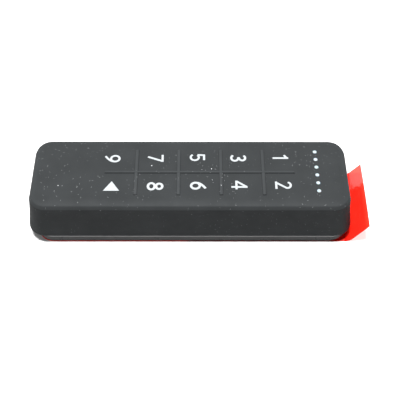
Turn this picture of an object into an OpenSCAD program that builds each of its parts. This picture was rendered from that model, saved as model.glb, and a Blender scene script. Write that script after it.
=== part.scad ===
// Wall keypad access reader: a battery keypad in a one-piece soft cover, which
// hooks on to a flat mounting plate with an adhesive pad and a red release film.
// Origin: centre of the back face that goes against the wall, at the film.
// +X: top end of the keypad (status lights), +Z: out of the wall, through the keys.

/* [Case] */
// Length of the case at its skirt
case_l = 101; // [99:0.5:104]
// Width of the case at its skirt
case_w = 29; // [29:0.5:31]
// Height of the key face above the wall
face_z = 17.3; // [17.2:0.1:18]
// Height of the skirt's lower edge above the wall
skirt_z = 3.2; // [3.1:0.1:3.3]
// How far each end wall leans in between skirt and key face
case_draft = 1.8; // [1.6:0.1:2.1]
// How far each side wall leans in between skirt and key face
side_draft = 0.9; // [0.8:0.1:1.4]
// Corner radius of the plan at the skirt
corner_r = 5.6; // [5.4:0.1:6.4]
// Width of the soft edge round the key face
edge_w = 2.9; // [2.6:0.1:3]
// Height of the soft edge round the key face
edge_h = 1.95; // [1.7:0.05:2]
// Thickness of the soft cover's walls
cover_t = 1.1; // [1:0.05:1.1]
// Thickness of the soft cover under the key face
skin_t = 0.9; // [0.8:0.05:0.9]

/* [Keys] */
// Distance between neighbouring key columns
key_pitch = 13.05; // [12.9:0.05:13.2]
// Place of the first column, at the keypad's lower end
first_column_x = -23.1; // [-23.5:0.1:-23]
// Distance of each key row from the centre line
key_row_y = 4.65; // [4.6:0.05:4.7]
// Length of a key pad along the keypad
key_l = 11; // [10.6:0.1:11.1]
// Width of a key pad across the keypad
key_w = 7.4; // [7:0.1:7.5]
// How far a key goes down
key_travel = 0.3; // [0.2:0.05:0.3]
// Half width and height of a rib between the keys
rib_r = 0.45; // [0.35:0.05:0.5]
// Half length of the cross ribs
rib_half_l = 9.1; // [8.8:0.1:9.5]

/* [Status lights] */
// Place of the row of status lights along the keypad
light_x = 39.2; // [38.8:0.1:39.6]
// How far the row's middle lies from the centre line
light_y = 0.35; // [0:0.05:0.4]
// Distance between neighbouring lights
light_pitch = 3.15; // [3.1:0.05:3.3]
// Radius of one light
light_r = 0.6; // [0.5:0.05:0.75]

/* [Mounting plate] */
// How far the plate's ends stay inside the case
plate_inset_x = 1; // [1:0.1:2.5]
// How far the plate's long sides stay inside the case
plate_inset_y = 0.3; // [0.2:0.05:0.5]
// Height of the plate's top face above the wall
plate_top_z = 3; // [2.9:0.05:3]
// Thickness of the foam adhesive pad
foam_t = 1; // [0.8:0.1:1.1]
// Thickness of the release film
film_t = 0.1; // [0.08:0.01:0.12]
// Distance between the two wall screws
screw_spacing = 50; // [46:1:52]
// Radius of a wall screw hole
screw_hole_r = 1.75; // [1.6:0.05:1.9]
// Slide that frees the case from the plate's hooks
unhook_travel = 2.1; // [2:0.1:2.2]

/* [Batteries] */
// Radius of an AAA cell
cell_r = 5.25; // [5.15:0.05:5.25]
// Length of an AAA cell with its nub
cell_l = 44.5; // [44:0.1:44.5]

/* [Hidden] */

$fn = 32;
eps = 0.01;
gap = 0.05;                     // between neighbours that are fixed together

// Levels, from the wall up
foam_z = film_t;
plate_z = foam_z + foam_t;
floor_z = skirt_z + 0.1;
floor_top_z = floor_z + 1.1;
frame_z = floor_top_z + 0.5;
skin_z = face_z - skin_t;
frame_top_z = skin_z - gap;
frame_ceiling_z = frame_top_z - key_travel - 0.3;
board_t = 0.8;
board_top_z = frame_ceiling_z - 0.1;
board_z = board_top_z - board_t;
dome_h = 0.3;
dome_r = 2.5;

// Plan sizes of the inner pieces, as distances inside the case
frame_inset = cover_t + 0.1;
frame_t = 1;
floor_inset = cover_t + 0.2;
board_inset = 4;

// Battery bay: two cells side by side, pointing opposite ways
cell_y = cell_r + 0.25;
cell_z = board_z - 0.1 - cell_r;
bay_x0 = -34;
bay_l = 49.6;
bay_x1 = bay_x0 + bay_l;
bay_half_w = 11;
bay_wall_t = 0.5;
contact_t = 0.3;

// Plate outline and its hooks
plate_l = case_l - 2 * plate_inset_x;
plate_w = case_w - 2 * plate_inset_y;
plate_r = corner_r;
film_w = case_w - 1;
hook_xs = [-41.5, 35.5];
hook_y = 3;
hook_w = 4;
hook_neck = 1.2;
hook_reach = 1.9;

// Case screws and their posts
post_x = 43.5;
post_y = 7.8;
post_r = 2;

// Pull tab: past a slanting crease the film bends up off the wall line and runs on straight
tab_x = 48.5;                   // where the crease starts, at the -Y edge
tab_near = [0, 57, 3, 10.8];    // -Y edge: flat length, rise angle, bend radius, whole length
tab_far = [4, 54, 0.8, 10.1];   // the same at the +Y edge
tab_steps = 16;
tab_rows = 6;

function up_wall(z) = (z - skirt_z) / (face_z - skirt_z);
function key_x(column) = first_column_x + column * key_pitch;
function rib_x(i) = key_x(i) + key_pitch / 2;

// ---------------------------------------------------------------- shapes

// Rounded rectangle in the plan
module plan(l, w, r) {
    square([l - 2 * r, w], center = true);
    square([l, w - 2 * r], center = true);
    for (x = [-1, 1], y = [-1, 1])
        translate([x * (l / 2 - r), y * (w / 2 - r)]) circle(r);
}

module slab(l, w, r, z0, z1) {
    translate([0, 0, z0]) linear_extrude(z1 - z0) plan(l, w, r);
}

// Thin slice of the case's leaning outline at height z, set inside it by inset
module case_slice(inset, z) {
    lean_x = case_draft * up_wall(z);
    lean_y = side_draft * up_wall(z);
    slab(case_l - 2 * (inset + lean_x), case_w - 2 * (inset + lean_y),
         max(corner_r - inset - lean_x * 0.3, 1), z, z + eps);
}

// Block with the case's leaning walls
module case_block(inset, z0, z1) {
    hull() {
        case_slice(inset, z0);
        case_slice(inset, z1 - eps);
    }
}

// Outer form of the cover: a steep band, a fairly sharp turn, then a slow crown up to the flat face
module cover_form() {
    turns = [[0, 1], [0.17, 0.31], [0.24, 0.24], [0.48, 0.09], [0.72, 0.025], [1, 0]];
    hull() {
        case_slice(0, skirt_z);
        for (t = turns) case_slice(edge_w * t[0], face_z - edge_h * t[1] - eps);
    }
}

module at_keys() {
    for (column = [0:4], side = [-1, 1])
        translate([key_x(column), side * key_row_y, 0]) children();
}

module at_posts() {
    for (x = [-post_x, post_x], y = [-post_y, post_y])
        translate([x, y, 0]) children();
}

module at_lights() {
    for (i = [-2.5:1:2.5]) translate([light_x, light_y + i * light_pitch, 0]) children();
}

module box(x0, x1, y0, y1, z0, z1) {
    translate([x0, y0, z0]) cube([x1 - x0, y1 - y0, z1 - z0]);
}

// ---------------------------------------------------------------- mounting plate

// Hook that stands on the plate and points to the keypad's top end
module plate_hook(x, y) {
    box(x, x + hook_neck, y - hook_w / 2, y + hook_w / 2, plate_top_z - 0.5, floor_top_z + 1.2);
    box(x, x + hook_neck + hook_reach, y - hook_w / 2, y + hook_w / 2,
        floor_top_z + 0.2, floor_top_z + 1.2);
}

module wall_screw_hole(x) {
    head_r = 3.4;
    sink_z = plate_z + 0.5;
    translate([x, 0, plate_z - 1]) cylinder(r = screw_hole_r, h = 4, $fn = 48);
    translate([x, 0, sink_z])
        cylinder(r1 = screw_hole_r, r2 = head_r, h = plate_top_z - sink_z + eps, $fn = 48);
}

module mounting_plate() color("dimgray") {
    rim = 0.5;
    difference() {
        union() {
            slab(plate_l, plate_w, plate_r, plate_z, plate_top_z - rim);
            slab(plate_l - 2 * rim, plate_w - 2 * rim, plate_r - rim, plate_z, plate_top_z);
            for (x = hook_xs, y = [-hook_y, hook_y]) plate_hook(x, y);
        }
        for (x = [-1, 1]) wall_screw_hole(x * screw_spacing / 2);
    }
}

module foam_pad() color("darkslategray") {
    difference() {
        slab(plate_l - 2.4, plate_w - 0.7, plate_r - 0.5, foam_z, plate_z);
        for (x = [-1, 1])
            translate([x * screw_spacing / 2, 0, foam_z - 1]) cylinder(r = 4, h = 4, $fn = 48);
    }
}

// The film follows the pad's outline at the lower end and goes as far as the tab's crease
module release_film() color("red") {
    r = plate_r - 0.5;
    x0 = -plate_l / 2 + 0.5;
    linear_extrude(film_t) {
        polygon([[x0 + r, -film_w / 2], [tab_x + tab_near[0], -film_w / 2],
                 [tab_x + tab_far[0], film_w / 2], [x0 + r, film_w / 2]]);
        translate([x0, -film_w / 2 + r]) square([r, film_w - 2 * r]);
        for (y = [-1, 1]) translate([x0 + r, y * (film_w / 2 - r)]) circle(r);
    }
}

// A point of the tab's underside: u runs out along the film, v across it from 0 to 1
function tab_row(v) =
    [for (k = [0:3]) tab_near[k] + (tab_far[k] - tab_near[k]) * (k == 2 ? v * v : v)];
function tab_point(u, v, lift) =
    let (row = tab_row(v), flat = row[0], rise = row[1], bend_r = row[2],
         a = min(rise, max(0, u - flat) / bend_r * 180 / PI),
         straight = max(0, u - flat - bend_r * rise * PI / 180),
         x = tab_x + min(u, flat) + bend_r * sin(a) + straight * cos(a),
         z = bend_r * (1 - cos(a)) + straight * sin(a))
    [x - lift * sin(a), film_w * (v - 0.5), z + lift * cos(a)];

module film_pull_tab() color("red") {
    n = tab_steps + 1;
    m = tab_rows + 1;
    count = n * m;
    start = 0.02;
    points = [for (lift = [0, film_t], j = [0:tab_rows], i = [0:tab_steps])
              let (v = j / tab_rows, u0 = tab_row(v)[0] + start, u1 = tab_row(v)[3])
              tab_point(u0 + i * (u1 - u0) / tab_steps, v, lift)];
    under = [for (j = [0:tab_rows - 1], i = [0:tab_steps - 1])
             let (p = j * n + i) each [[p, p + 1, p + n + 1], [p, p + n + 1, p + n]]];
    over = [for (f = under) [f[2] + count, f[1] + count, f[0] + count]];
    sides = [for (i = [0:tab_steps - 1]) let (q = (m - 1) * n + i)
             each [[i + 1, i, i + count], [i + 1, i + count, i + 1 + count],
                   [q, q + 1, q + 1 + count], [q, q + 1 + count, q + count]]];
    ends = [for (j = [0:tab_rows - 1])
            let (p = j * n, q = j * n + tab_steps)
            each [[p, p + n, p + n + count], [p, p + n + count, p + count],
                  [q + n, q, q + count], [q + n, q + count, q + n + count]]];
    polyhedron(points, concat(under, over, sides, ends), convexity = 4);
}

// ---------------------------------------------------------------- case

module key_windows(l, w, z0, z1) {
    at_keys() box(-l / 2, l / 2, -w / 2, w / 2, z0, z1);
}

// Soft cover: skirt and key face in one, with ribs round the keys
module soft_cover() color([0.2, 0.21, 0.22]) {
    side_gap = 0.1;
    difference() {
        cover_form();
        case_block(cover_t, skirt_z - 1, skin_z);
        key_windows(key_l + 2 * side_gap, key_w + 2 * side_gap, skin_z - 1, face_z + 1);
        at_lights() translate([0, 0, skin_z - 1])
            cylinder(r = light_r + gap, h = skin_t + 2, $fn = 24);
    }
    intersection() {
        union() {
            for (i = [0:3]) translate([rib_x(i), 0, face_z]) rotate([90, 0, 0])
                cylinder(r = rib_r, h = 2 * rib_half_l, center = true, $fn = 24);
            translate([(rib_x(0) + rib_x(3)) / 2, 0, face_z]) rotate([0, 90, 0])
                cylinder(r = rib_r - 0.05, h = 4.5 * key_pitch, center = true, $fn = 24);
        }
        box(-case_l / 2, case_l / 2, -case_w / 2, case_w / 2, face_z - 0.3, face_z + 1);
    }
}

// Rigid frame under the cover: walls, key grid and screw posts
module front_frame() color("gray") {
    window_l = key_l + 0.6;
    window_w = key_w + 0.6;
    difference() {
        union() {
            difference() {
                case_block(frame_inset, frame_z, frame_top_z);
                case_block(frame_inset + frame_t, frame_z - 1, frame_ceiling_z);
            }
            at_posts() translate([0, 0, frame_z])
                cylinder(r = post_r, h = frame_ceiling_z + 0.2 - frame_z, $fn = 32);
        }
        key_windows(window_l, window_w, frame_ceiling_z - 1, frame_top_z + 1);
        box(light_x - 1.6, light_x + 1.6, -9.6, 9.6, frame_ceiling_z - 1, frame_top_z + 1);
        at_posts() translate([0, 0, frame_z - 1]) cylinder(r = 0.65, h = 8, $fn = 24);
    }
}

// Rear housing: the floor, the battery bay's walls and the slots for the plate's hooks
module rear_housing() color("gray") {
    door_gap_x = 1.5;
    wall_top_z = cell_z + 0.6;
    end_wall_top_z = board_z - 0.2;
    slot_back = unhook_travel + 0.1;
    difference() {
        union() {
            slab(case_l - 2 * floor_inset, case_w - 2 * floor_inset, corner_r - floor_inset,
                 floor_z, floor_top_z);
            for (x = [bay_x0 - 1, bay_x1]) {
                box(x, x + 1, -bay_half_w, bay_half_w, floor_top_z - 0.3, wall_top_z);
                box(x, x + 1, -bay_half_w + 0.3, bay_half_w - 0.3, floor_top_z, end_wall_top_z);
            }
            for (s = [-1, 1]) translate([0, s * (bay_half_w + bay_wall_t / 2 - 0.1), 0])
                box(bay_x0 - 1, bay_x1 + 1, -bay_wall_t / 2, bay_wall_t / 2,
                    floor_top_z - 0.3, wall_top_z);
        }
        // the bay, open at the back for the battery door
        box(bay_x0, bay_x1, -bay_half_w + 0.15, bay_half_w - 0.15, floor_z - 1, board_z);
        // pockets over the floor for the door's two tongues
        for (y = [-6, 6]) box(bay_x1 - 1, bay_x1 + door_gap_x, y - 2.2, y + 2.2,
                              floor_z + 0.4, floor_top_z + 0.2);
        box(bay_x0 - door_gap_x, bay_x0 + 1, -3.2, 3.2, floor_z + 0.4, floor_top_z + 0.2);
        for (x = hook_xs, y = [-hook_y, hook_y])
            box(x - slot_back, x + hook_neck + 0.1, y - hook_w / 2 - 0.3, y + hook_w / 2 + 0.3,
                floor_z - 1, floor_top_z + 1);
        at_posts() {
            translate([0, 0, floor_z - 1]) cylinder(r = 0.9, h = 3, $fn = 24);
            translate([0, 0, floor_z - 1]) cylinder(r = 1.7, h = 1.7, $fn = 24);
        }
    }
}

// Battery door with two fixed tongues, a snap tongue and a finger groove
module battery_door() color("gray") {
    play = 0.15;
    top_z = floor_top_z - 0.25;
    tongue_z = floor_z + 0.5;
    difference() {
        union() {
            box(bay_x0 + play, bay_x1 - play, -bay_half_w + 2 * play, bay_half_w - 2 * play,
                floor_z, top_z);
            for (y = [-6, 6]) box(bay_x1 - 2, bay_x1 + 1.2, y - 2, y + 2, tongue_z, top_z);
            box(bay_x0 - 1.2, bay_x0 + 2, -3, 3, tongue_z, top_z);
        }
        translate([bay_x0 + 3, 0, floor_z - 0.7]) rotate([90, 0, 0])
            cylinder(r = 1.1, h = 9, center = true, $fn = 32);
    }
}

module case_gasket() color("black") {
    inset = floor_inset + 0.15;
    width = 0.7;
    difference() {
        slab(case_l - 2 * inset, case_w - 2 * inset, corner_r - inset,
             floor_top_z, frame_z);
        slab(case_l - 2 * (inset + width), case_w - 2 * (inset + width),
             corner_r - inset - width, floor_top_z - 1, frame_z + 1);
    }
}

module case_screws() color("silver") {
    head_z = floor_z + 0.05;
    head_h = 0.6;
    at_posts() difference() {
        union() {
            translate([0, 0, head_z]) cylinder(r = 1.5, h = head_h, $fn = 32);
            translate([0, 0, head_z + head_h / 2]) cylinder(r = 0.6, h = 6, $fn = 24);
        }
        for (a = [0, 90]) rotate([0, 0, a])
            box(-0.9, 0.9, -0.2, 0.2, head_z - 1, head_z + 0.35);
    }
}

// ---------------------------------------------------------------- power

// AAA cell along X, with its nub at the +X end when dir is 1
module cell(y, x0, dir) {
    nub_r = 1.9;
    nub_l = 1;
    body_l = cell_l - nub_l;
    bevel = 0.4;
    translate([dir > 0 ? x0 : x0 + cell_l, y, cell_z]) rotate([0, dir * 90, 0]) rotate_extrude($fn = 64)
        polygon([[0, 0], [cell_r - bevel, 0], [cell_r, bevel], [cell_r, body_l - bevel],
                 [cell_r - bevel, body_l], [nub_r, body_l], [nub_r, cell_l - 0.2],
                 [nub_r - 0.2, cell_l], [0, cell_l]]);
}

spring_l = bay_l - 2 * contact_t - cell_l - 0.3;

module battery_1() color("steelblue")
    cell(cell_y, bay_x1 - contact_t - 0.1 - cell_l, 1);

module battery_2() color("steelblue")
    cell(-cell_y, bay_x0 + contact_t + 0.1, -1);

// Spring wire wound on a cone, with its axis along X, from a plate at x = 0
module spring_coil(dir) {
    wire_r = 0.25;
    turns = 3;
    per_turn = 16;
    sides = 8;
    rings = turns * per_turn;
    r0 = 3.2;
    r1 = 1.9;
    run = spring_l - 2 * wire_r + 0.1;
    points = [for (i = [0:rings], k = [0:sides - 1])
              let (t = i / rings, a = 360 * i / per_turn, b = 360 * k / sides,
                   r = r0 + (r1 - r0) * t + wire_r * cos(b))
              [dir * (wire_r - 0.1 + run * t + wire_r * sin(b)), r * cos(a), dir * r * sin(a)]];
    walls = [for (i = [0:rings - 1], k = [0:sides - 1])
             let (p = i * sides + k, q = i * sides + (k + 1) % sides)
             each [[p, q, q + sides], [p, q + sides, p + sides]]];
    caps = concat([[for (k = [sides - 1:-1:0]) k]],
                  [[for (k = [0:sides - 1]) rings * sides + k]]);
    polyhedron(points, concat(walls, caps), convexity = 8);
}

module contact_plate(x, y, half_w) {
    box(x, x + contact_t, y - half_w, y + half_w, cell_z - 4, board_z - 0.1);
}

module positive_contact() color("gold") {
    contact_plate(bay_x1 - contact_t - eps, cell_y, 4);
}

module negative_spring_contact() color("silver") {
    contact_plate(bay_x1 - contact_t - eps, -cell_y, 4);
    translate([bay_x1 - contact_t - eps, -cell_y, cell_z]) spring_coil(-1);
}

module series_link_contact() color("silver") {
    contact_plate(bay_x0 + eps, 0, cell_y + 4);
    translate([bay_x0 + eps + contact_t, cell_y, cell_z]) spring_coil(1);
}

// ---------------------------------------------------------------- electronics

module main_board() color("darkgreen") {
    difference() {
        slab(case_l - 2 * board_inset, case_w - 2 * board_inset + 0.2, 3.4, board_z, board_top_z);
        at_posts() translate([0, 0, board_z - 1]) cylinder(r = post_r + 0.15, h = 3, $fn = 32);
    }
}

// Flat chip under the board with a pin-one mark
module chip(x, y, l, w, h) {
    difference() {
        box(x - l / 2, x + l / 2, y - w / 2, y + w / 2, board_z - h, board_z);
        translate([x - l / 2 + 0.7, y - w / 2 + 0.7, board_z - h - 1])
            cylinder(r = 0.25, h = 1.1, $fn = 16);
    }
}

module radio_chip() color("black") chip(27, 0, 6, 6, 0.9);

module chip_antenna() color("white") chip(44.2, 0, 2.2, 6.5, 1.2);

module clock_crystal() color("silver") chip(27, 6.4, 3.2, 2.5, 0.8);

module voltage_regulator() color("black") {
    chip(19.5, -6, 3, 1.7, 1.1);
    for (y = [-1, 1], x = [-0.95, 0.95])
        box(19.5 + x - 0.2, 19.5 + x + 0.2, -6 + y * 1.2 - 0.35, -6 + y * 1.2 + 0.35,
            board_z - 0.2, board_z);
}

module board_capacitors() color("tan") {
    for (i = [0:4]) box(34 + i * 1.6, 34.9 + i * 1.6, -6.5, -4.9, board_z - 0.8, board_z);
    for (y = [-4.8, 4.2]) box(22, 23.2, y, y + 0.7, board_z - 0.6, board_z);
}

module status_leds() color("ivory") {
    at_lights() box(-0.8, 0.8, -0.4, 0.4, board_top_z, board_top_z + 0.3);
}

// Clear bar with six stems that end flush with the key face
module status_light_guide() color("white") {
    bar_z = board_top_z + 0.4;
    box(light_x - 1.4, light_x + 1.4, -9.4, 9.4, bar_z, skin_z - gap);
    at_lights() translate([0, 0, bar_z + 0.1])
        cylinder(r = light_r, h = face_z - bar_z - 0.1, $fn = 32);
}

module dome_retainer_film() color("lightyellow") {
    x0 = key_x(0) - key_l / 2 - 1;
    x1 = key_x(4) + key_l / 2 + 1;
    difference() {
        box(x0, x1, -key_row_y - 4, key_row_y + 4, board_top_z, board_top_z + 0.08);
        at_keys() translate([0, 0, board_top_z - 1]) cylinder(r = dome_r + 0.15, h = 2, $fn = 48);
    }
}

// ---------------------------------------------------------------- keys

// Snap dome on the board under each key
module dome(column, side) color("silver") {
    t = 0.08;
    translate([key_x(column), side * key_row_y, board_top_z]) rotate_extrude($fn = 48)
        polygon([[0, dome_h - t], [0.9, dome_h - t - 0.02], [1.8, 0.1], [dome_r - 0.1, 0],
                 [dome_r, 0], [dome_r, 0.06], [1.8, 0.1 + t], [0.9, dome_h - 0.02], [0, dome_h]]);
}

// Key pad, level with the key face, and the stem that presses the dome
module key_pad(column, side) color([0.22, 0.23, 0.24]) {
    stem_z = board_top_z + dome_h + gap;
    translate([key_x(column), side * key_row_y, 0]) {
        slab(key_l, key_w, 1, skin_z, face_z);
        translate([0, 0, stem_z]) cylinder(r = 1.5, h = skin_z - stem_z + 0.3, $fn = 32);
    }
}

// Columns run from the keypad's lower end; side 1 is the odd row, -1 the even row
module dome_1() dome(4, 1);
module dome_2() dome(4, -1);
module dome_3() dome(3, 1);
module dome_4() dome(3, -1);
module dome_5() dome(2, 1);
module dome_6() dome(2, -1);
module dome_7() dome(1, 1);
module dome_8() dome(1, -1);
module dome_9() dome(0, 1);
module dome_arrow() dome(0, -1);
module key_1() key_pad(4, 1);
module key_2() key_pad(4, -1);
module key_3() key_pad(3, 1);
module key_4() key_pad(3, -1);
module key_5() key_pad(2, 1);
module key_6() key_pad(2, -1);
module key_7() key_pad(1, 1);
module key_8() key_pad(1, -1);
module key_9() key_pad(0, 1);
module key_arrow() key_pad(0, -1);

// ---------------------------------------------------------------- assembly

mounting_plate();
foam_pad();
release_film();
film_pull_tab();
soft_cover();
front_frame();
rear_housing();
battery_door();
case_gasket();
case_screws();
battery_1();
battery_2();
positive_contact();
negative_spring_contact();
series_link_contact();
main_board();
radio_chip();
chip_antenna();
clock_crystal();
voltage_regulator();
board_capacitors();
status_leds();
status_light_guide();
dome_retainer_film();
dome_1();
dome_2();
dome_3();
dome_4();
dome_5();
dome_6();
dome_7();
dome_8();
dome_9();
dome_arrow();
key_1();
key_2();
key_3();
key_4();
key_5();
key_6();
key_7();
key_8();
key_9();
key_arrow();
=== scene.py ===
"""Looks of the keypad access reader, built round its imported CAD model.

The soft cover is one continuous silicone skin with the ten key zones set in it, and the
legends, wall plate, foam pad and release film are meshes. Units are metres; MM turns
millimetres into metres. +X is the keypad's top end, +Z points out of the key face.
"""

import math

import bmesh
import bpy
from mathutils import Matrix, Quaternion, Vector
from mathutils.geometry import delaunay_2d_cdt


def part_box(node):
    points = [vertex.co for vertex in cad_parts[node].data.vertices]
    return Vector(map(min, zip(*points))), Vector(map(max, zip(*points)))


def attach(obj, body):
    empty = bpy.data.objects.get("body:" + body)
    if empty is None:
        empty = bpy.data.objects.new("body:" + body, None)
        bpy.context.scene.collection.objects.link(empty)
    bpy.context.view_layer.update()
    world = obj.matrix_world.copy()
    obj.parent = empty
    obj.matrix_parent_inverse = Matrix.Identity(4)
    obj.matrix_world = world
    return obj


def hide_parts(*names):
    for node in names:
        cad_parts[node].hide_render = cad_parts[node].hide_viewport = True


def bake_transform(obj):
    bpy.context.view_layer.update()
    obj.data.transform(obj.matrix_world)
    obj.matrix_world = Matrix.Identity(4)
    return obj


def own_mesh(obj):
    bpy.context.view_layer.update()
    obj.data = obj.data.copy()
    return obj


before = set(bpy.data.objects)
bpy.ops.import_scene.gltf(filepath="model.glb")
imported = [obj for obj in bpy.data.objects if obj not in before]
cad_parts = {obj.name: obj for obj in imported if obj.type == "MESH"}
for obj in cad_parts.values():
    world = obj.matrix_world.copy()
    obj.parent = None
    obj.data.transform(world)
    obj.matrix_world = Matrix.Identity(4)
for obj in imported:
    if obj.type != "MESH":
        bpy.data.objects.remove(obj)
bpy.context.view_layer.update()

MM = 0.001

# ---------------------------------------------------------------- sizes from the frame

KEY_NAMES = ["1", "2", "3", "4", "5", "6", "7", "8", "9", "arrow"]

cover_low, cover_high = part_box("soft_cover")
CASE_L = cover_high.x - cover_low.x
CASE_W = cover_high.y - cover_low.y
SKIRT_Z = cover_low.z
FACE_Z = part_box("key_1")[1].z
RIB_H = cover_high.z - FACE_Z
SKIN_Z = FACE_Z - 0.9 * MM

plate_low, plate_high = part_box("mounting_plate")
foam_low, foam_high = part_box("foam_pad")
film_low, film_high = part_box("release_film")
lights_low, lights_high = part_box("status_light_guide")

END_DRAFT = 1.8 * MM
SIDE_DRAFT = 0.9 * MM
CORNER_R = 5.6 * MM
COVER_T = 1.1 * MM
LIGHT_R = 0.6 * MM
LIGHT_PITCH = 3.15 * MM
LIGHT_X = (lights_low.x + lights_high.x) / 2
LIGHT_Y = 0.35 * MM

SCREW_SPACING = 50 * MM
SCREW_R = 1.75 * MM
SCREW_HEAD_R = 3.4 * MM
SCREW_CUTOUT_R = 4 * MM         # opening in the foam round each wall screw
HOOK_XS = (-41.5 * MM, 35.5 * MM)
HOOK_YS = (-3 * MM, 3 * MM)
LOWER_TRIM = 1.3 * MM           # how far plate and film stop short of the CAD ones at the lower end
FOAM_TRIM = 0.6 * MM


def key_centre(name):
    low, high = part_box("key_" + name)
    return (low + high) / 2


def key_size():
    low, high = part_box("key_1")
    slit = 0.2 * MM
    return high.x - low.x + slit, high.y - low.y + slit


# ---------------------------------------------------------------- camera and lights

CAMERA_ANGLE = math.radians(51.6)
CAMERA_YAW = math.radians(-0.46)
CAMERA_ROLL = math.radians(0.4)
CAMERA_AIM = Vector((3.15, 2.58, 0)) * MM
CAMERA_DISTANCE = 273.4 * MM
CAMERA_LENS = 75.3


def add_camera():
    data = bpy.data.cameras.new("camera")
    data.lens = CAMERA_LENS
    data.sensor_width = 36
    data.clip_start = 0.01
    camera = bpy.data.objects.new("camera", data)
    bpy.context.collection.objects.link(camera)
    tilt, yaw = CAMERA_ANGLE, CAMERA_YAW
    forward = Vector((-math.sin(yaw) * math.cos(tilt), math.cos(yaw) * math.cos(tilt), -math.sin(tilt)))
    camera.location = CAMERA_AIM - forward * CAMERA_DISTANCE
    turn = forward.to_track_quat("-Z", "Y")
    camera.rotation_mode = "QUATERNION"
    camera.rotation_quaternion = turn @ Quaternion((0, 0, 1), CAMERA_ROLL)
    bpy.context.scene.camera = camera


def add_area_light(name, place, aim, size, power):
    data = bpy.data.lights.new(name, "AREA")
    data.shape = "DISK"
    data.size = size
    data.energy = power
    lamp = bpy.data.objects.new(name, data)
    lamp.location = Vector(place)
    lamp.rotation_euler = (Vector(aim) - Vector(place)).to_track_quat("-Z", "Y").to_euler()
    bpy.context.collection.objects.link(lamp)


def add_light():
    scene = bpy.context.scene
    scene.view_settings.view_transform = "Standard"
    world = bpy.data.worlds.new("studio")
    world.use_nodes = True
    tree = world.node_tree
    way = tree.nodes.new("ShaderNodeSeparateXYZ")
    tree.links.new(tree.nodes.new("ShaderNodeTexCoord").outputs["Generated"], way.inputs["Vector"])
    ramp = tree.nodes.new("ShaderNodeValToRGB")
    for point, position, grey in zip(ramp.color_ramp.elements, (0.0, 0.5), (0.36, 0.66)):
        point.position = position
        point.color = (grey, grey, grey, 1)
    tree.links.new(way.outputs["Y"], ramp.inputs["Fac"])
    tree.links.new(ramp.outputs["Color"], tree.nodes["Background"].inputs["Color"])
    scene.world = world
    add_area_light("overhead", (-0.08, -0.06, 1.1), (0, 0, 0), 0.3, 30)


def add_floor():
    half = 3.0
    material = new_material("floor")
    shader = material.node_tree.nodes["Principled BSDF"]
    shader.inputs["Base Color"].default_value = (0.7, 0.7, 0.7, 1)
    shader.inputs["Roughness"].default_value = 0.9
    corners = [(-half, -half, 0), (half, -half, 0), (half, half, 0), (-half, half, 0)]
    floor = new_object("floor", corners, [(0, 1, 2, 3)], material)


# ---------------------------------------------------------------- materials


def new_material(name):
    material = bpy.data.materials.new(name)
    material.use_nodes = True
    return material


class Nodes:
    """Short calls for building one material's nodes."""

    def __init__(self, name, roughness=0.5, metallic=0.0, specular=0.5):
        self.material = new_material(name)
        self.tree = self.material.node_tree
        self.shader = self.tree.nodes["Principled BSDF"]
        self.shader.inputs["Roughness"].default_value = roughness
        self.shader.inputs["Metallic"].default_value = metallic
        self.shader.inputs["Specular IOR Level"].default_value = specular
        self.where = self.tree.nodes.new("ShaderNodeTexCoord").outputs["Object"]

    def node(self, kind, **values):
        made = self.tree.nodes.new(kind)
        for key, value in values.items():
            if hasattr(made, key):
                setattr(made, key, value)
            else:
                made.inputs[key.replace("_", " ")].default_value = value
        return made

    def link(self, a, b):
        self.tree.links.new(a, b)

    def noise(self, size_mm, detail=2.0, stretch=(1, 1, 1)):
        """Noise whose features are about size_mm across."""
        mapping = self.node("ShaderNodeMapping")
        mapping.inputs["Scale"].default_value = stretch
        self.link(self.where, mapping.inputs["Vector"])
        made = self.node("ShaderNodeTexNoise", Scale=1 / (size_mm * MM), Detail=detail)
        self.link(mapping.outputs["Vector"], made.inputs["Vector"])
        return made.outputs["Fac"]

    def ramp(self, value, *stops):
        """Colour ramp; a stop is (position, grey or (r, g, b))."""
        made = self.node("ShaderNodeValToRGB")
        points = made.color_ramp.elements
        while len(points) < len(stops):
            points.new(0.5)
        for point, (position, colour) in zip(points, stops):
            if not isinstance(colour, tuple):
                colour = (colour, colour, colour)
            point.position = position
            point.color = (*colour, 1)
        self.link(value, made.inputs["Fac"])
        return made.outputs["Color"]

    def math(self, operation, a, b):
        made = self.node("ShaderNodeMath", operation=operation)
        for socket, value in zip(made.inputs, (a, b)):
            if isinstance(value, (int, float)):
                socket.default_value = value
            else:
                self.link(value, socket)
        return made.outputs["Value"]

    def mix(self, factor, a, b):
        made = self.node("ShaderNodeMix", data_type="RGBA")
        for socket, value in ((made.inputs[0], factor), (made.inputs[6], a), (made.inputs[7], b)):
            if isinstance(value, tuple):
                socket.default_value = (*value, 1)
            elif isinstance(value, (int, float)):
                socket.default_value = value
            else:
                self.link(value, socket)
        return made.outputs[2]

    def colour(self, socket):
        self.link(socket, self.shader.inputs["Base Color"])

    def rough(self, value, low, high):
        self.link(self.ramp(value, (0.3, low), (0.7, high)), self.shader.inputs["Roughness"])

    def bump(self, height, depth_mm, strength=1.0):
        made = self.node("ShaderNodeBump", Strength=strength, Distance=depth_mm * MM)
        self.link(height, made.inputs["Height"])
        self.link(made.outputs["Normal"], self.shader.inputs["Normal"])

    def specks(self, cell_mm, radius_mm, share):
        """1 on small round specks strewn through space, 0 elsewhere."""
        cells = self.node("ShaderNodeTexVoronoi", Scale=1 / (cell_mm * MM))
        self.link(self.where, cells.inputs["Vector"])
        parts = self.node("ShaderNodeSeparateColor")
        self.link(cells.outputs["Color"], parts.inputs["Color"])
        near = self.math("LESS_THAN", cells.outputs["Distance"], radius_mm / cell_mm)
        chosen = self.math("LESS_THAN", parts.outputs["Red"], share)
        return self.math("MULTIPLY", near, chosen)
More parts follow.
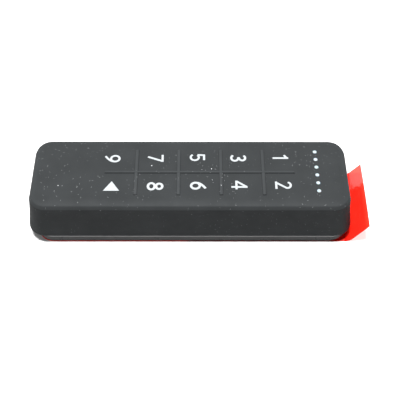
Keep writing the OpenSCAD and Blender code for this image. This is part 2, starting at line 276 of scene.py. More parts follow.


# How light the silicone is painted by its drop below the key face: a painted highlight on the band round the
# face's edge and painted shade on the walls below: (millimetres, share)
EDGE_HIGHLIGHT_WALL_SHADE = [(0, 1.0), (0.1, 1.03), (0.34, 1.12), (0.52, 1.16), (0.62, 1.12), (1.6, 1.08), (1.9, 0.74),
              (2.2, 0.69), (2.6, 0.73)]


def soft_black(name="soft_black", tone=1.0):
    """Matt silicone with a soft-touch skin, a faint mottle and some dust; tone lightens all of it, which on
    the ribs is a painted highlight.
    The band round the key face is painted lighter as a highlight, and the walls below have less dust and are
    painted darker as shade."""
    n = Nodes(name, roughness=0.6, specular=0.06)
    mottle = n.noise(9, detail=3)
    tones = (0.0222, 0.0241, 0.0251), (0.0265, 0.0287, 0.0299)

    def body(share):
        low, high = (tuple(tone * share * c for c in colour) for colour in tones)
        return n.ramp(mottle, (0.3, low), (0.7, high))

    parts = n.node("ShaderNodeSeparateXYZ")
    n.link(n.where, parts.inputs["Vector"])
    depth = n.math("DIVIDE", n.math("SUBTRACT", FACE_Z, parts.outputs["Z"]), 3 * MM)
    # painted highlight round the face's edge and painted shade on the walls, as a share of the silicone's
    # colour by its drop
    painted_edge_light_wall_shade = n.ramp(depth, *[(drop / 3, (share - 0.7) / 0.7) for drop, share in EDGE_HIGHLIGHT_WALL_SHADE])
    waves = n.noise(11, detail=1, stretch=(1, 2, 2))
    grain = n.math("ADD", n.noise(0.35, detail=3), n.math("MULTIPLY", waves, 8))
    n.rough(n.noise(2.5, detail=4), 0.6, 0.7)
    patches = n.ramp(n.noise(16, detail=2), (0.42, 0.15), (0.62, 1.0))
    fine_dust = n.math("MULTIPLY", n.specks(0.75, 0.07, 0.45), patches)
    big_dust = n.specks(3.1, 0.14, 0.2)
    dust = n.math("MAXIMUM", n.math("MULTIPLY", fine_dust, 0.7), n.math("MULTIPLY", big_dust, 0.85))
    dust = n.math("MULTIPLY", dust, n.ramp(depth, (0.5, 1.0), (0.8, 0.35)))
    # dust over the silicone's dark and light copies, which are mixed by that painted highlight and shade
    n.colour(n.mix(dust, n.mix(painted_edge_light_wall_shade, body(0.7), body(1.4)), (0.72, 0.74, 0.76)))
    n.bump(grain, 0.025, 0.55)
    return n.material


def legend_white():
    """Screen-printed ink, a little uneven."""
    n = Nodes("legend_white", roughness=0.45)
    n.colour(n.ramp(n.noise(0.5, detail=3), (0.3, (0.305, 0.325, 0.335)), (0.7, (0.35, 0.37, 0.38))))
    n.bump(n.noise(0.2), 0.01, 0.4)
    return n.material


def light_window():
    """Milky acrylic with a cool tint."""
    n = Nodes("light_window", roughness=0.3)
    n.colour(n.ramp(n.noise(0.8), (0.3, (0.31, 0.355, 0.38)), (0.7, (0.35, 0.395, 0.42))))
    n.shader.inputs["Subsurface Weight"].default_value = 0.2
    n.shader.inputs["Subsurface Scale"].default_value = 0.5 * MM
    n.shader.inputs["Coat Weight"].default_value = 0.3
    return n.material


def moulded(name, low, high, roughness, grain_mm=0.3, depth_mm=0.02):
    """Moulded plastic: two near tones, uneven gloss and a fine spark-eroded grain."""
    n = Nodes(name, roughness=roughness)
    n.colour(n.ramp(n.noise(6, detail=3), (0.3, low), (0.7, high)))
    n.rough(n.noise(1.5, detail=3), roughness - 0.05, roughness + 0.07)
    n.bump(n.noise(grain_mm, detail=2), depth_mm, 0.5)
    return n.material


def plate_plastic():
    """Moulded plate whose rolled rim is painted much lighter than its side, as a highlight."""
    n = Nodes("plate_plastic", roughness=0.3, specular=0.15)
    n.rough(n.noise(1.5, detail=3), 0.26, 0.36)
    parts = n.node("ShaderNodeSeparateXYZ")
    n.link(n.where, parts.inputs["Vector"])
    height = n.math("DIVIDE", parts.outputs["Z"], 4 * MM)
    side = n.ramp(n.noise(6, detail=3), (0.3, (0.016, 0.016, 0.017)), (0.7, (0.024, 0.024, 0.025)))
    # the light band above this height on the rim is a painted highlight
    n.colour(n.mix(n.ramp(height, (2.55 / 4, 0.0), (2.9 / 4, 1.0)), side, (0.28, 0.28, 0.282)))
    n.bump(n.noise(0.4, detail=2), 0.01, 0.5)
    return n.material


def foam():
    """Closed-cell foam: round cells showing on the cut side."""
    n = Nodes("foam", roughness=0.9, specular=0.2)
    cells = n.node("ShaderNodeTexVoronoi", Scale=1 / (0.22 * MM))
    n.link(n.where, cells.inputs["Vector"])
    n.colour(n.ramp(cells.outputs["Distance"], (0.1, 0.03), (0.7, 0.07)))
    n.bump(cells.outputs["Distance"], 0.08, 0.8)
    return n.material


def red_film():
    """Clear red polyester: two surfaces tint what is seen through it, with a gloss on top.
    The light that it lets through falls on the floor paler, as from a wide studio light."""
    n = Nodes("red_film")
    tint = n.node("ShaderNodeBsdfTransparent")
    streaks = n.noise(3, detail=2, stretch=(0.3, 1, 1))
    shade = n.ramp(streaks, (0.3, (0.985, 0.20, 0.145)), (0.7, (0.995, 0.225, 0.165)))
    path = n.node("ShaderNodeLightPath")
    n.link(n.mix(path.outputs["Is Shadow Ray"], shade, (0.97, 0.64, 0.63)), tint.inputs["Color"])
    gloss = n.node("ShaderNodeBsdfAnisotropic", Roughness=0.12)
    fresnel = n.node("ShaderNodeFresnel")
    sides = n.node("ShaderNodeNewGeometry")
    n.link(n.math("SUBTRACT", 1.5, n.math("MULTIPLY", sides.outputs["Backfacing"], 0.833)),
           fresnel.inputs["IOR"])
    ripple = n.node("ShaderNodeBump", Strength=0.25, Distance=0.03 * MM)
    n.link(n.noise(4, detail=1), ripple.inputs["Height"])
    n.link(ripple.outputs["Normal"], gloss.inputs["Normal"])
    both = n.node("ShaderNodeMixShader")
    n.link(fresnel.outputs["Fac"], both.inputs["Fac"])
    n.link(tint.outputs["BSDF"], both.inputs[1])
    n.link(gloss.outputs["BSDF"], both.inputs[2])
    n.tree.nodes.remove(n.shader)
    n.link(both.outputs["Shader"], n.tree.nodes["Material Output"].inputs["Surface"])
    return n.material


def metal(name, colour, roughness, brush=(1, 1, 1)):
    """Plated or rolled metal with faint drawing marks along one way."""
    n = Nodes(name, roughness=roughness, metallic=1.0)
    marks = n.noise(0.4, detail=3, stretch=brush)
    dark = tuple(0.85 * c for c in colour)
    n.colour(n.ramp(marks, (0.3, dark), (0.7, colour)))
    n.rough(marks, roughness - 0.06, roughness + 0.08)
    n.bump(marks, 0.01, 0.3)
    return n.material


def cell_jacket():
    """Printed cell jacket: one plain dark blue, a little scuffed."""
    n = Nodes("cell_jacket", roughness=0.32, metallic=0.7)
    wear = n.noise(1.2, detail=3)
    n.colour(n.mix(n.math("MULTIPLY", wear, 0.25), (0.05, 0.10, 0.16), (0.3, 0.32, 0.34)))
    n.rough(wear, 0.26, 0.4)
    return n.material


def circuit_board():
    """Green solder resist over copper tracks and pads."""
    n = Nodes("circuit_board", roughness=0.35)
    brick = n.node("ShaderNodeTexBrick", Scale=1 / (3.0 * MM))
    brick.inputs["Mortar Size"].default_value = 0.04
    n.link(n.where, brick.inputs["Vector"])
    resist = n.ramp(n.noise(5), (0.3, (0.01, 0.08, 0.035)), (0.7, (0.015, 0.11, 0.05)))
    n.colour(n.mix(brick.outputs["Fac"], resist, (0.03, 0.2, 0.08)))
    n.bump(brick.outputs["Fac"], 0.03, 0.6)
    return n.material


def clear_film(name, colour):
    n = Nodes(name, roughness=0.25)
    n.colour(n.ramp(n.noise(3), (0.3, tuple(0.9 * c for c in colour)), (0.7, colour)))
    n.shader.inputs["Alpha"].default_value = 0.55
    return n.material


# ---------------------------------------------------------------- mesh building


def new_object(name, verts, faces, material, sharp_deg=35):
    mesh = bpy.data.meshes.new(name)
    mesh.from_pydata([tuple(v) for v in verts], [], faces)
    work = bmesh.new()
    work.from_mesh(mesh)
    bmesh.ops.recalc_face_normals(work, faces=work.faces)
    work.to_mesh(mesh)
    work.free()
    mesh.polygons.foreach_set("use_smooth", [True] * len(mesh.polygons))
    mesh.set_sharp_from_angle(angle=math.radians(sharp_deg))
    mesh.update()
    made = bpy.data.objects.new(name, mesh)
    made.data.materials.append(material)
    bpy.context.collection.objects.link(made)
    return made


def arc(centre, radius, start, end, steps):
    """Points on a plane arc, angles in degrees, both ends included."""
    turn = [math.radians(start + (end - start) * i / steps) for i in range(steps + 1)]
    return [(centre[0] + radius * math.cos(a), centre[1] + radius * math.sin(a)) for a in turn]


def rounded_outline(half_l, half_w, radius, corner_steps=10, side_steps=(12, 4)):
    """Rounded rectangle, counter-clockwise, with the same number of points for any size."""
    points = []
    corners = [(1, 1, 0), (-1, 1, 90), (-1, -1, 180), (1, -1, 270)]
    for k, (sx, sy, start) in enumerate(corners):
        centre = (sx * (half_l - radius), sy * (half_w - radius))
        bend = arc(centre, radius, start, start + 90, corner_steps)
        points += bend
        nx, ny, following = corners[(k + 1) % 4]
        turn = math.radians(following)
        first = (nx * (half_l - radius) + radius * math.cos(turn),
                 ny * (half_w - radius) + radius * math.sin(turn))
        steps = side_steps[k % 2]
        for i in range(1, steps):
            t = i / steps
            points.append((bend[-1][0] + (first[0] - bend[-1][0]) * t,
                           bend[-1][1] + (first[1] - bend[-1][1]) * t))
    return points


def inside(point, polygon):
    """Even-odd test of a point in a plane polygon."""
    x, y = point
    found = False
    for (ax, ay), (bx, by) in zip(polygon, polygon[1:] + polygon[:1]):
        if (ay > y) != (by > y) and x < ax + (bx - ax) * (y - ay) / (by - ay):
            found = not found
    return found


class Builder:
    """Collects loops, bridges and flat fills into one mesh."""

    def __init__(self):
        self.verts = []
        self.faces = []

    def loop(self, outline, z):
        first = len(self.verts)
        self.verts += [(x, y, z) for x, y in outline]
        return list(range(first, len(self.verts)))

    def bridge(self, a, b):
        count = len(a)
        for i in range(count):
            j = (i + 1) % count
            self.faces.append((a[i], a[j], b[j], b[i]))

    def stack(self, loops):
        for a, b in zip(loops, loops[1:]):
            self.bridge(a, b)

    def fill(self, outer, holes=()):
        """Triangles over a flat loop, leaving out the holes."""
        ids = list(outer)
        edges = [(i, (i + 1) % len(outer)) for i in range(len(outer))]
        for hole in holes:
            first = len(ids)
            ids += hole
            edges += [(first + i, first + (i + 1) % len(hole)) for i in range(len(hole))]
        points = [Vector(self.verts[i][:2]) for i in ids]
        scaled = [p * 1000 for p in points]
        made = delaunay_2d_cdt(scaled, edges, [], 1, 1e-6)
        source = [ids[origin[0]] for origin in made[3]]
        outlines = [[self.verts[i][:2] for i in hole] for hole in holes]
        for triangle in made[2]:
            corners = [self.verts[source[i]] for i in triangle]
            middle = (sum(c[0] for c in corners) / 3, sum(c[1] for c in corners) / 3)
            if not any(inside(middle, outline) for outline in outlines):
                self.faces.append(tuple(source[i] for i in triangle))

    def box(self, x, y, z, bevel=0.15 * MM):
        """Box between two x, two y and two z values, with its edges broken."""
        work = bmesh.new()
        bmesh.ops.create_cube(work, size=1)
        for v in work.verts:
            v.co = Vector((x[0] if v.co.x < 0 else x[1], y[0] if v.co.y < 0 else y[1],
                           z[0] if v.co.z < 0 else z[1]))
        bmesh.ops.bevel(work, geom=work.edges[:], offset=bevel, segments=2, profile=0.5,
                        affect="EDGES")
        work.verts.index_update()
        first = len(self.verts)
        self.verts += [tuple(v.co) for v in work.verts]
        self.faces += [tuple(first + v.index for v in f.verts) for f in work.faces]
        work.free()

    def object(self, name, material, sharp_deg=35):
        return new_object(name, self.verts, self.faces, material, sharp_deg)


# ---------------------------------------------------------------- soft cover


# Edge round the key face, from the flat face down to the wall: (inset, drop) in millimetres.
# A slow crown ends in a fairly sharp turn, then comes a steep band and a second soft turn.
EDGE = [(2.9, 0), (2.6, 0.022), (2.3, 0.07), (1.9, 0.155), (1.5, 0.26), (1.1, 0.385), (0.78, 0.5),
        (0.62, 0.575), (0.5, 0.68), (0.42, 0.82), (0.33, 1.05), (0.2, 1.42), (0.07, 1.8),
        (0.02, 1.98), (0, 2.15), (0.03, 2.4)]


def case_loop(builder, inset, z):
    """Loop of the case's plan at height z, set in by inset from the leaning wall."""
    share = (z - SKIRT_Z) / (FACE_Z - SKIRT_Z)
    radius = max(CORNER_R - inset - 0.3 * END_DRAFT * share, 0.6 * MM)
    half_l = CASE_L / 2 - inset - END_DRAFT * share
    half_w = CASE_W / 2 - inset - SIDE_DRAFT * share
    return builder.loop(rounded_outline(half_l, half_w, radius), z)


def key_hole(name):
    """Outline of the opening that a key zone fills, counter-clockwise."""
    centre = key_centre(name)
    length, width = key_size()
    return [(centre.x + sx * length / 2, centre.y + sy * width / 2)
            for sx, sy in ((-1, -1), (1, -1), (1, 1), (-1, 1))]


def light_hole(index):
    y = LIGHT_Y + (index - 2.5) * LIGHT_PITCH
    return arc((LIGHT_X, y), LIGHT_R + 0.02 * MM, 0, 345, 23)


LIP_RISE = 0.22 * MM            # height of the skirt's edge above the CAD skirt's


def build_cover(material):
    b = Builder()
    lip = 0.3 * MM
    inner_edge = 0.4 * MM
    inner = [case_loop(b, COVER_T + inner_edge * (1 - math.cos(a)), SKIN_Z - inner_edge * (1 - math.sin(a)))
             for a in (math.pi / 2, math.pi / 4, 0)]
    inner.append(case_loop(b, COVER_T, SKIRT_Z + lip))
    low = SKIRT_Z + LIP_RISE
    rim = [case_loop(b, COVER_T - 0.1 * MM, SKIRT_Z + 0.02 * MM), case_loop(b, COVER_T - 0.3 * MM, low)]
    rim += [case_loop(b, lip * (1 - math.sin(a)), low + lip * (1 - math.cos(a)))
            for a in (0, math.radians(30), math.radians(60), math.pi / 2)]
    hollow = 0.12 * MM
    wall = [case_loop(b, 0, low + 1.5 * lip)]
    wall += [case_loop(b, hollow * share, SKIRT_Z + t * (FACE_Z - SKIRT_Z))
             for t, share in ((0.15, 0.25), (0.25, 0.55), (0.4, 0.9), (0.55, 1), (0.7, 0.85))]
    edge = [case_loop(b, inset * MM, FACE_Z - drop * MM) for inset, drop in reversed(EDGE)]
    flat = [case_loop(b, (EDGE[0][0] + 0.35) * MM, FACE_Z)]
    b.stack(inner + rim + wall + edge + flat)
    holes = [key_hole(name) for name in KEY_NAMES] + [light_hole(i) for i in range(6)]
    upper = [b.loop(hole, FACE_Z) for hole in holes]
    lower = [b.loop(hole, SKIN_Z) for hole in holes]
    b.fill(flat[0], upper)
    b.fill(inner[0], lower)
    for a, c in zip(upper, lower):
        b.bridge(a, c)
    cover = b.object("soft_cover_skin", material)
    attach(cover, "keypad")
    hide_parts("soft_cover")


# Half of a rib's section, from its foot to its top: (share of half width, share of height)
RIB_SIDE = [(1.25, 0), (1.04, 0.05), (0.95, 0.2), (0.88, 0.55), (0.78, 0.8), (0.6, 0.93), (0.3, 0.99)]


def add_rib(builder, start, end, half, height):
    """Rounded ridge on the key face from start to end, sinking into it at both ends."""
    along = Vector(end) - Vector(start)
    length = along.length
    along.normalize()
    side = Vector((-along.y, along.x))
    foot = -0.05 * MM
    stations = [(0, 0), (0.03, 0.3), (0.07, 0.8), (0.2, 1)]
    places = [(t * MM, h) for t, h in stations]
    places += [(length - t * 2 * MM, h) for t, h in reversed(stations)]
    profile = [(-share * half, rise) for share, rise in RIB_SIDE] + [(0, 1)]
    profile += [(share * half, rise) for share, rise in reversed(RIB_SIDE)]
    rows = []
    for distance, share in places:
        row = len(builder.verts)
        centre = Vector(start) + along * distance
        for offset, rise in profile:
            p = centre + side * offset
            builder.verts.append((p.x, p.y, FACE_Z + foot + (height - foot) * rise * share))
        builder.verts.append((centre.x + side.x * 0.4 * MM, centre.y + side.y * 0.4 * MM, FACE_Z - 0.3 * MM))
        builder.verts.append((centre.x - side.x * 0.4 * MM, centre.y - side.y * 0.4 * MM, FACE_Z - 0.3 * MM))
        rows.append(list(range(row, len(builder.verts))))
    builder.stack(rows)
    builder.faces.append(tuple(rows[0]))
    builder.faces.append(tuple(rows[-1]))


def build_ribs(material):
    b = Builder()
    columns = sorted({round(key_centre(name).x, 6) for name in KEY_NAMES})
    pitch = (columns[-1] - columns[0]) / (len(columns) - 1)
    reach = 9.1 * MM
    cross_y, long_y = -0.2 * MM, -0.35 * MM
    for x in columns[:-1]:
        add_rib(b, (x + pitch / 2, cross_y - reach), (x + pitch / 2, cross_y + reach), 0.62 * MM, RIB_H)
    middle = (columns[0] + columns[-1]) / 2
    run = 2.25 * pitch
    add_rib(b, (middle - run, long_y), (middle + run, long_y), 0.42 * MM, RIB_H + 0.1 * MM)
    ribs = b.object("key_ribs", material, sharp_deg=60)
    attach(ribs, "keypad")


# ---------------------------------------------------------------- keys

CROWN = 0.005 * MM              # rise of a key zone's middle
BEND_W = 1.25 * MM              # width of the skin that bends round a key


def build_key_skin(name, material):
    """One key zone of the skin, its middle crowned a little above its rim."""
    centre = key_centre(name)
    length, width = key_size()
    thick = 0.5 * MM
    rows = 6
    steps = [BEND_W * i / rows for i in range(rows + 1)]

    def lines(size):
        low = [-size / 2 + s for s in steps]
        return low + [0] + [-v for v in reversed(low)]

    xs, ys = lines(length), lines(width)
    b = Builder()

    def grid(z, rise):
        ids = []
        for x in xs:
            row = []
            for y in ys:
                depth = min(length / 2 - abs(x), width / 2 - abs(y))
                share = min(depth / BEND_W, 1)
                row.append(len(b.verts))
                b.verts.append((centre.x + x, centre.y + y, z + rise * share))
            ids.append(row)
        for i in range(len(xs) - 1):
            for j in range(len(ys) - 1):
                b.faces.append((ids[i][j], ids[i + 1][j], ids[i + 1][j + 1], ids[i][j + 1]))
        return ids

    top = grid(FACE_Z, CROWN)
    under = grid(FACE_Z - thick, 0)

    def border(ids):
        return ([row[0] for row in ids] + ids[-1][1:] + [row[-1] for row in reversed(ids[:-1])]
                + list(reversed(ids[0][1:-1])))

    b.bridge(border(top), border(under))
    skin = b.object("key_" + name + "_skin", material)
    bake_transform(skin)
    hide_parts("key_" + name)


def build_key_stem(name, material):
    """Pad and stem under the skin, which press the snap dome."""
    centre = key_centre(name)
    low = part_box("key_" + name)[0].z
    pad_l, pad_w = 8.4 * MM, 4.8 * MM
    stem_r = 1.5 * MM
    b = Builder()
    top = b.loop(rounded_outline(pad_l / 2, pad_w / 2, 1 * MM, 4, (2, 2)), FACE_Z - 0.6 * MM)
    edge = b.loop(rounded_outline(pad_l / 2, pad_w / 2, 1 * MM, 4, (2, 2)), SKIN_Z)
    turns = [math.atan2(b.verts[i][1], b.verts[i][0]) for i in edge]

    def ring(radius, z):
        return b.loop([(radius * math.cos(t), radius * math.sin(t)) for t in turns], z)

    rings = [ring(stem_r, SKIN_Z), ring(stem_r, low + 0.1 * MM), ring(stem_r - 0.1 * MM, low)]
    b.stack([top, edge] + rings)
    b.faces.append(tuple(top))
    b.faces.append(tuple(rings[-1]))
    b.verts = [(x + centre.x, y + centre.y, z) for x, y, z in b.verts]
    stem = b.object("key_" + name + "_stem", material)
    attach(stem, "key_" + name)


# Legends are drawn with strokes. u runs to the right of a digit and v up it, in millimetres;
# on the keypad v points to +X and u to -Y.
STROKE = 0.66
BOLDER = {"3": 0.7, "6": 0.74, "8": 0.75}
DIGIT_H = 4.9
# How far each mark's middle lies from its key's middle, along X and Y in millimetres
PLACES = {"1": (-0.86, 1.16), "2": (-0.68, -1.0), "3": (-1.14, 0.68), "4": (-0.99, -1.0),
          "5": (-0.77, 0.96), "6": (-0.6, -1.24), "7": (-0.68, 0.52), "8": (-0.68, -1.48),
          "9": (-1.0, 0.36), "arrow": (-0.83, -1.48)}
PRINT_SHIFT_Y = 0.31            # how far the whole print lies to +Y besides, as the light row does


def ellipse(centre, ru, rv, start, end, steps):
    return [(centre[0] + (u - centre[0]) * ru, centre[1] + (v - centre[1]) * rv)
            for u, v in arc(centre, 1, start, end, steps)]


def curve(a, b, c, steps=8):
    """Quadratic curve from a to c, pulled towards b."""
    points = []
    for i in range(steps + 1):
        t = i / steps
        points.append(tuple((1 - t) ** 2 * p + 2 * t * (1 - t) * q + t * t * r for p, q, r in zip(a, b, c)))
    return points


def digit_strokes():
    """Each digit as a list of centre lines."""
    s = STROKE / 2
    h = DIGIT_H
    six_bowl = ellipse((0, 1.72), 1.18, 1.32, 0, 360, 32)
    six_tail = curve((-1.18, 1.75), (-1.2, 2.75), (-0.45, 3.55))
    six_tail += curve((-0.45, 3.55), (0.1, 4.15), (1.0, h - 0.12))
    # The slanting line of the 2 ends in a doubled point, so that it gets a round end
    return {
        "1": [[(0.5, 0), (0.5, h)], [(0.62, h - 0.42), (-0.72, h - 1.3)]],
        "2": [ellipse((0, 3.72), 1.1, 1.03, 165, -22, 18) + [(-1.0, s), (-1.0, s)], [(-1.42, s), (1.45, s)]],
        "3": [ellipse((0, 3.8), 1.02, 0.95, 150, -90, 18), ellipse((0, 1.48), 1.15, 1.08, 95, -150, 20),
              [(-0.35, 2.72), (0.1, 2.72)]],
        "4": [[(0.72, 0), (0.72, h)], [(0.62, h - 0.3), (-1.5, 1.62)], [(-1.75, 1.55), (1.65, 1.55)]],
        "5": [[(1.15, h - s), (-0.75, h - s)], [(-0.82, h), (-1.0, 2.55)],
              ellipse((0.02, 1.68), 1.2, 1.27, 138, -148, 22)],
        "6": [six_bowl, six_tail],
        "7": [[(-1.42, h - s), (1.42, h - s)], [(1.16, h - 0.35), (-0.62, 0)]],
        "8": [ellipse((0, 1.42), 1.24, 1.02, 0, 360, 30), ellipse((0, 3.8), 1.05, 0.95, 0, 360, 28)],
        "9": [[(-u, h - v) for u, v in six_bowl], [(-u, h - v) for u, v in six_tail]],
    }


def stroke_polygons(path, half):
    """Quads along a centre line and a round disc at each bend, which together cover the stroke."""
    shapes = []
    for a, b in zip(path, path[1:]):
        run = Vector(b) - Vector(a)
        if run.length < 1e-6:
            continue
        side = Vector((-run.y, run.x)).normalized() * half
        shapes.append([(a[0] + side.x, a[1] + side.y), (a[0] - side.x, a[1] - side.y),
                       (b[0] - side.x, b[1] - side.y), (b[0] + side.x, b[1] + side.y)])
    closed = (Vector(path[0]) - Vector(path[-1])).length < 1e-6
    bends = path if closed else path[1:-1]
    for p in bends:
        shapes.append(arc(p, half, 0, 345, 23))
    return shapes


def joined_area(shapes):
    """(points, triangles) of the union of overlapping plane polygons."""
    points, faces = [], []
    for shape in shapes:
        first = len(points)
        points += [Vector(p) for p in shape]
        faces.append(list(range(first, len(points))))
    made = delaunay_2d_cdt(points, [], faces, 1, 1e-4)
    return [(p.x, p.y) for p in made[0]], [tuple(f) for f, source in zip(made[2], made[5]) if source]


def build_legend(name, shapes, material):
    """Printed mark: a thin raised layer of ink on the key."""
    centre = key_centre(name)
    ink = 0.012 * MM
    z0 = FACE_Z + CROWN - 0.01 * MM
    z1 = FACE_Z + CROWN + ink
    points, triangles = joined_area(shapes)
    count = len(points)
    dx, dy = PLACES[name]
    verts = [(centre.x + (v - DIGIT_H / 2 + dx) * MM, centre.y + (dy + PRINT_SHIFT_Y - u) * MM, z)
             for z in (z0, z1) for u, v in points]
    faces = [tuple(reversed(f)) for f in triangles]
    faces += [tuple(i + count for i in f) for f in triangles]
    edge_use = {}
    for f in triangles:
        for a, b in zip(f, f[1:] + f[:1]):
            edge_use[(a, b)] = True
    for a, b in edge_use:
        if (b, a) not in edge_use:
            faces.append((a, b, b + count, a + count))
    legend = new_object("legend_" + name, verts, faces, material)
    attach(legend, "key_" + name)


def build_keys(skin, ink):
    strokes = digit_strokes()
    h = DIGIT_H
    arrow = [[(-1.98, h / 2), (1.75, 0), (1.75, h)]]
    for name in KEY_NAMES:
        build_key_skin(name, skin)
        build_key_stem(name, skin)
        half = BOLDER.get(name, STROKE) / 2
        shapes = arrow
        if name != "arrow":
            shapes = [p for path in strokes[name] for p in stroke_polygons(path, half)]
        build_legend(name, shapes, ink)


# ---------------------------------------------------------------- plate, pad and film


def slab_loops(builder, half_l, half_w, radius, profile, trim):
    """Loops round a flat plate whose lower end is trimmed; the profile is a list of (inset, z)."""
    return [builder.loop([(x + trim / 2, y) for x, y in
                          rounded_outline(half_l - trim / 2 - inset, half_w - inset, radius - inset)], z)
            for inset, z in profile]


def screw_places():
    return [-SCREW_SPACING / 2, SCREW_SPACING / 2]


def build_plate(material):
    """Wall plate: a rolled rim at the top edge, painted bright as a highlight, two countersunk holes, four
    hooks.
    """
    b = Builder()
    top, bottom = hook_free_top(), plate_low.z
    rim = top + 0.1 * MM
    profile = [(0.15 * MM, bottom), (0.0, bottom + 0.15 * MM), (0.0, rim - 0.5 * MM),
               (0.04 * MM, rim - 0.3 * MM), (0.12 * MM, rim - 0.13 * MM), (0.27 * MM, rim - 0.02 * MM),
               (0.45 * MM, rim), (0.7 * MM, top), (1.0 * MM, top)]
    half_l = (plate_high.x - plate_low.x) / 2
    half_w = (plate_high.y - plate_low.y) / 2
    loops = slab_loops(b, half_l, half_w, CORNER_R, profile, LOWER_TRIM)
    b.stack(loops)
    sink_z = bottom + 0.5 * MM
    upper, lower = [], []
    for x in screw_places():
        rings = [b.loop(arc((x, 0), r, 0, 352.5, 47), z)
                 for r, z in ((SCREW_HEAD_R, top), (SCREW_R, sink_z), (SCREW_R, bottom))]
        b.stack(rings)
        upper.append(rings[0])
        lower.append(rings[-1])
    b.fill(loops[-1], upper)
    b.fill(loops[0], lower)
    floor_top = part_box("case_gasket")[0].z
    hook_top = plate_high.z
    neck, reach, half_hook = 1.2 * MM, 1.9 * MM, 2 * MM
    for x in HOOK_XS:
        for y in HOOK_YS:
            b.box((x, x + neck), (y - half_hook, y + half_hook), (top - 0.4 * MM, hook_top))
            b.box((x, x + neck + reach), (y - half_hook, y + half_hook), (floor_top + 0.2 * MM, hook_top))
    plate = b.object("wall_plate", material)
    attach(plate, "mount")
    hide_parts("mounting_plate")


def hook_free_top():
    """Height of the plate's flat top, under its hooks."""
    return SKIRT_Z - 0.2 * MM


def build_foam(material):
    b = Builder()
    half_l = (foam_high.x - foam_low.x) / 2
    half_w = (foam_high.y - foam_low.y) / 2
    low, high = foam_low.z, foam_high.z
    middle = (low + high) / 2
    profile = [(0, low), (0.06 * MM, low + 0.12 * MM), (0.12 * MM, middle), (0.06 * MM, high - 0.12 * MM),
               (0, high)]
    loops = slab_loops(b, half_l, half_w, CORNER_R - 0.5 * MM, profile, FOAM_TRIM)
    b.stack(loops)
    holes = [[b.loop(arc((x, 0), SCREW_CUTOUT_R, 0, 352.5, 47), z) for z in (high, low)]
             for x in screw_places()]
    for upper, lower in holes:
        b.bridge(upper, lower)
    b.fill(loops[-1], [pair[0] for pair in holes])
    b.fill(loops[0], [pair[1] for pair in holes])
    pad = b.object("adhesive_foam", material)
    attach(pad, "mount")
    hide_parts("foam_pad")


TAB_X = 48.5 * MM
# Flat length, rise, bend radius and whole length of the tab at each of its edges
TAB_NEAR = (0, math.radians(57), 3 * MM, 10.8 * MM)
TAB_FAR = (4 * MM, math.radians(54), 0.8 * MM, 10.1 * MM)


def tab_row(v):
    mixes = (v, v, v * v, v)
    return [near + (far - near) * mix for near, far, mix in zip(TAB_NEAR, TAB_FAR, mixes)]


def tab_point(u, v, lift, film_w):
    """Point of the pull tab: u out along the film, v across it from 0 to 1."""
    flat, rise, bend_r, _ = tab_row(v)
    turn = min(rise, max(0, u - flat) / bend_r)
    straight = max(0, u - flat - bend_r * rise)
    x = TAB_X + min(u, flat) + bend_r * math.sin(turn) + straight * math.cos(turn)
    z = bend_r * (1 - math.cos(turn)) + straight * math.sin(turn)
    return (x - lift * math.sin(turn), film_w * (v - 0.5), z + lift * math.cos(turn))


def build_film(material):
    """Release film: flat under the pad as far as a slanting crease, then the tab that curls up."""
    film_w = film_high.y - film_low.y
    thick = film_high.z - film_low.z
    corner = CORNER_R - 0.5 * MM
    flat_steps, tab_steps = 24, 28
    near_edge = [corner * (1 - math.cos(math.pi / 2 * i / 8)) for i in range(9)]
    middle = [corner + (film_w / 2 - corner) * i / 6 for i in range(1, 7)]
    offsets = near_edge + middle
    across = offsets + [film_w - o for o in reversed(offsets[:-1])]
    b = Builder()

    def sheet(lift):
        rows = []
        for offset in across:
            edge = min(offset, film_w - offset)
            pull_in = corner - math.sqrt(max(corner ** 2 - max(corner - edge, 0) ** 2, 0))
            start = film_low.x + LOWER_TRIM + pull_in
            v = offset / film_w
            row = len(b.verts)
            flat, _, _, whole = tab_row(v)
            crease = TAB_X + flat
            for i in range(flat_steps):
                x = start + (crease - start) * i / flat_steps
                b.verts.append((x, film_w * (v - 0.5), lift))
            for i in range(tab_steps + 1):
                u = flat + (whole - flat) * i / tab_steps
                b.verts.append(tab_point(u, v, lift, film_w))
            rows.append(list(range(row, len(b.verts))))
        for a, c in zip(rows, rows[1:]):
            for i in range(len(a) - 1):
                b.faces.append((a[i], a[i + 1], c[i + 1], c[i]))
        return rows

    def border(rows):
        return (rows[0] + [row[-1] for row in rows[1:]] + list(reversed(rows[-1][:-1]))
                + [row[0] for row in reversed(rows[1:-1])])

    b.bridge(border(sheet(0)), border(sheet(thick)))
    film = b.object("red_release_film", material)
    middle = Vector((TAB_X + (TAB_NEAR[0] + TAB_FAR[0]) / 2, 0, 0))
    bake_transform(film)
    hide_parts("release_film", "film_pull_tab")


# ---------------------------------------------------------------- inside pieces


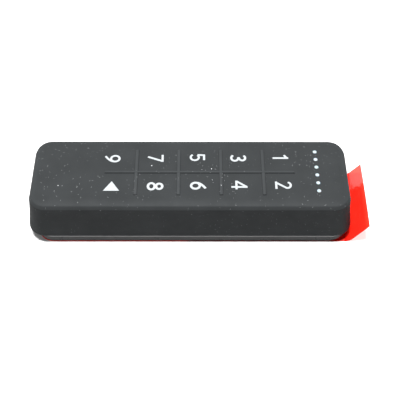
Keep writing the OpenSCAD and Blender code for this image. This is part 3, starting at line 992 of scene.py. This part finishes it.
def build_domes(material):
    """Snap domes: thin steel caps that flatten under their key."""
    for name in KEY_NAMES:
        low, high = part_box("dome_" + name)
        centre = (low + high) / 2
        radius = (high.x - low.x) / 2
        rise = high.z - low.z
        thick = min(0.08 * MM, rise / 3)
        b = Builder()

        def cap(outer, height):
            rings = []
            for share in (1, 0.9, 0.75, 0.55, 0.3):
                ring = [(centre.x + x, centre.y + y) for x, y in arc((0, 0), outer * share, 0, 345, 23)]
                rings.append(b.loop(ring, low.z + height * (1 - share ** 2)))
            b.stack(rings)
            b.faces.append(tuple(rings[-1]))
            return rings[0]

        b.bridge(cap(radius, rise), cap(radius - 0.2 * MM, rise - thick))
        dome = b.object("snap_dome_" + name, material)
        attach(dome, "keypad")
        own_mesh(dome)
        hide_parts("dome_" + name)


def dress(material, *nodes):
    """Gives CAD nodes their material."""
    for node in nodes:
        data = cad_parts[node].data
        data.materials.clear()
        data.materials.append(material)


def dress_inside():
    grey = moulded("frame_plastic", (0.025, 0.026, 0.028), (0.036, 0.037, 0.04), 0.5)
    dress(grey, "front_frame", "rear_housing", "battery_door")
    dress(moulded("gasket_rubber", (0.012, 0.012, 0.012), (0.02, 0.02, 0.02), 0.7), "case_gasket")
    dress(metal("screw_steel", (0.55, 0.55, 0.55), 0.32), "case_screws")
    dress(metal("contact_metal", (0.66, 0.63, 0.56), 0.28, (1, 1, 0.2)), "positive_contact",
          "negative_spring_contact", "series_link_contact")
    build_domes(metal("dome_steel", (0.62, 0.62, 0.63), 0.22))
    dress(cell_jacket(), "battery_1", "battery_2")
    dress(circuit_board(), "main_board")
    dress(moulded("chip_black", (0.012, 0.012, 0.013), (0.02, 0.02, 0.021), 0.45, 0.15), "radio_chip",
          "voltage_regulator")
    dress(moulded("ceramic_white", (0.7, 0.69, 0.64), (0.8, 0.79, 0.75), 0.4), "chip_antenna")
    dress(metal("crystal_can", (0.6, 0.6, 0.6), 0.3, (0.2, 1, 1)), "clock_crystal")
    dress(moulded("ceramic_tan", (0.3, 0.19, 0.1), (0.4, 0.26, 0.15), 0.45, 0.1), "board_capacitors")
    dress(moulded("led_body", (0.75, 0.72, 0.55), (0.85, 0.82, 0.68), 0.25, 0.2, 0.005), "status_leds")
    dress(light_window(), "status_light_guide")
    dress(clear_film("dome_film", (0.75, 0.66, 0.35)), "dome_retainer_film")


# ---------------------------------------------------------------- scene

add_camera()
add_light()
add_floor()

soft = soft_black()
build_cover(soft)
# The ribs' silicone is painted lighter all over, as a highlight on their crowns
build_ribs(soft_black("soft_black_ribs_painted_highlight", tone=1.32))
build_keys(soft, legend_white())
build_plate(plate_plastic())
build_foam(foam())
build_film(red_film())
dress_inside()
